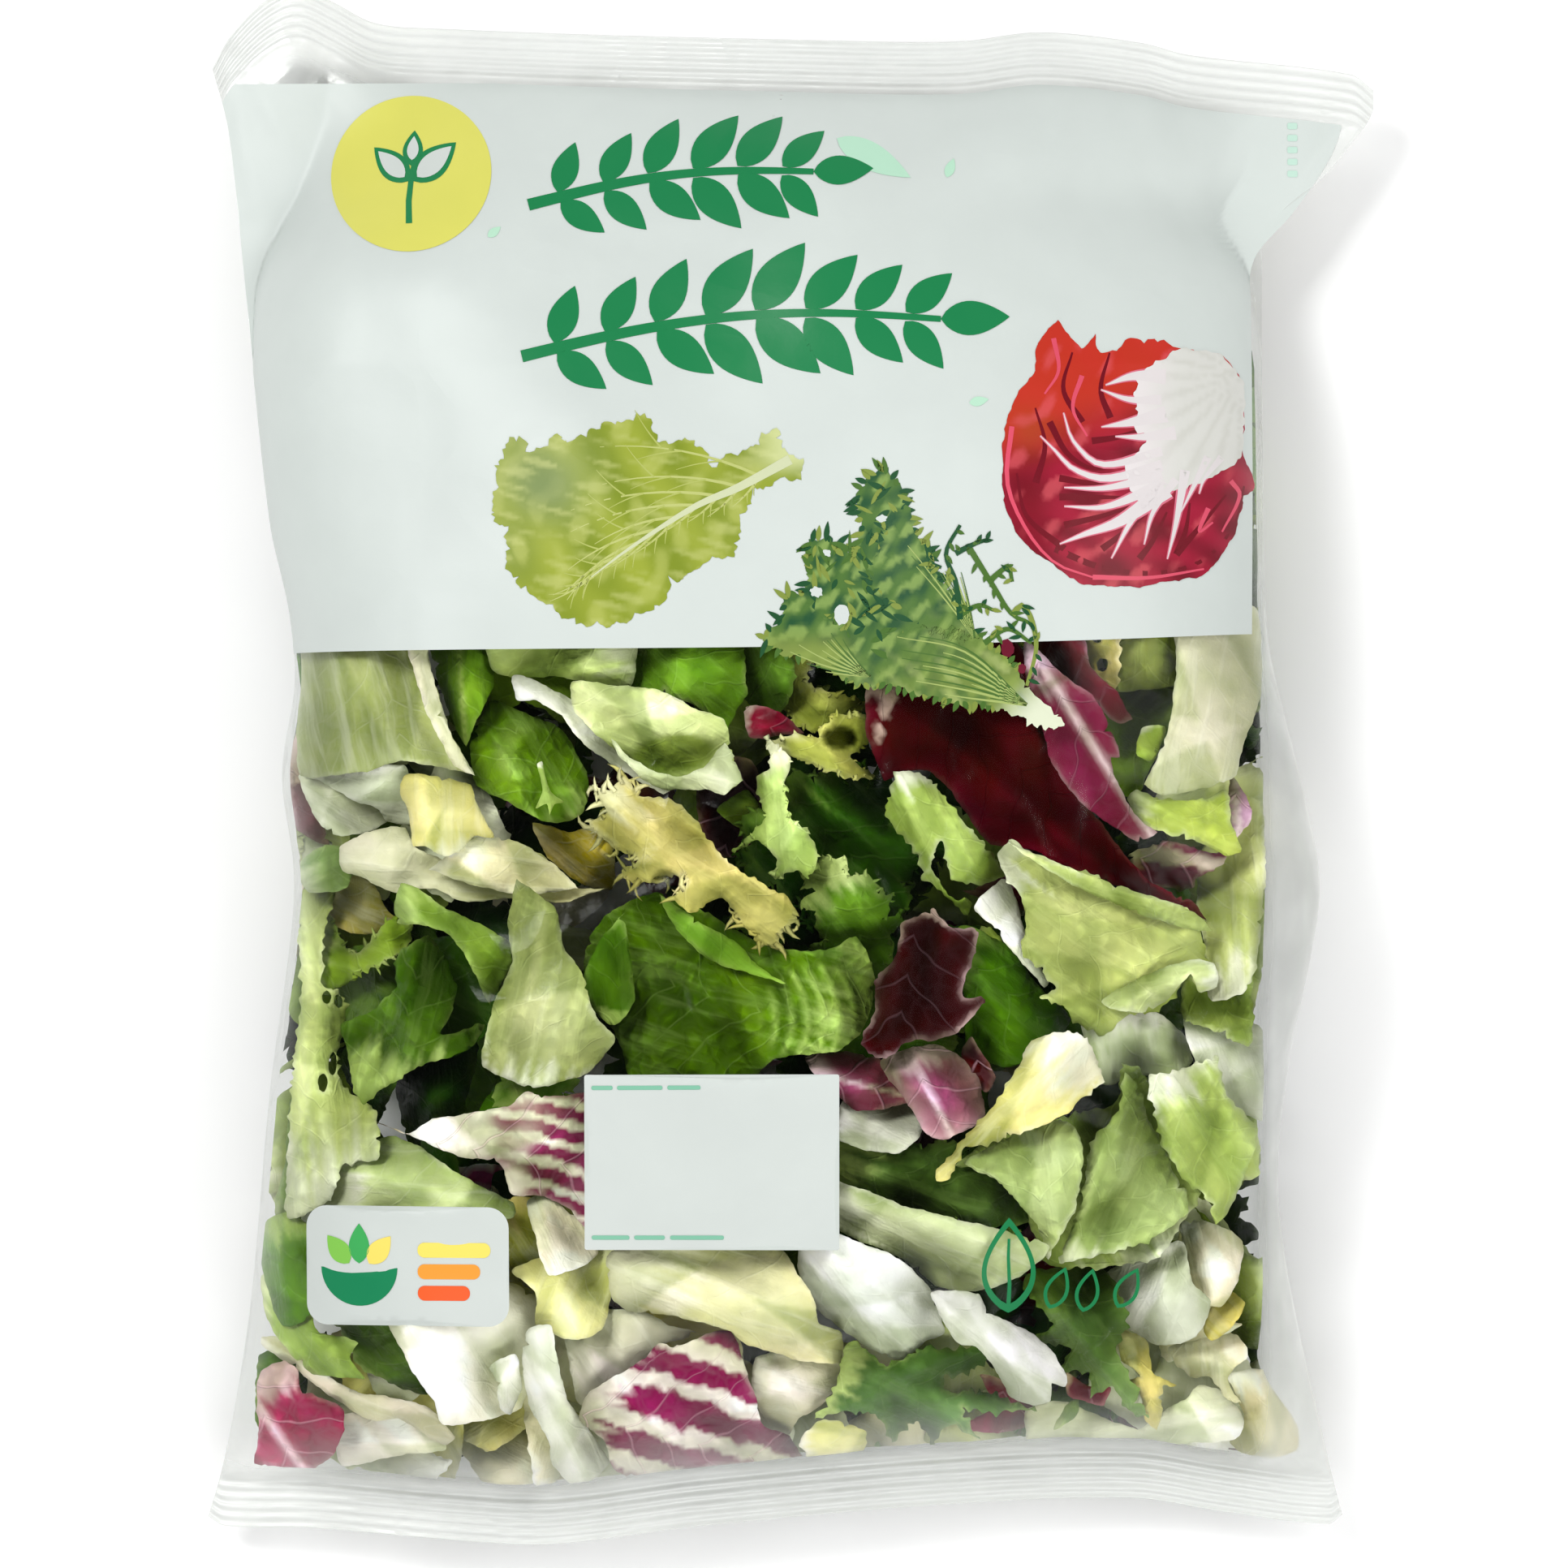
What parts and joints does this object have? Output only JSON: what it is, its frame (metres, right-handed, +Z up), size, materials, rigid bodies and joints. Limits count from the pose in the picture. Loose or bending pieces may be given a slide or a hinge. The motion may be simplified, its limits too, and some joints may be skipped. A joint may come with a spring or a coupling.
{
  "type": "bag of salad leaves",
  "caption": "Sealed clear film pillow bag of mixed cut salad leaves, with a white printed panel over its head half, lying on its back.",
  "frame": {"origin": "middle of the bag's bounding box in plan, at its underside, on the surface it lies on", "axes": "+X across the bag, to the right as the print is seen; +Y along the bag, from the tail seal to the head seal; +Z up, out of the printed face"},
  "size_m": [0.253, 0.3366, 0.0789],
  "materials": {
    "film": "clear film with a slight haze",
    "white_print": "satin opaque white ink under film",
    "colour_print": "satin coloured ink under film",
    "green_leaf": "fresh leaf, satin",
    "pale_leaf": "fresh leaf, satin",
    "red_leaf": "fresh leaf, satin"
  },
  "bodies": {
    "root": {"salad_bag": "film"}
  },
  "joints": []
}
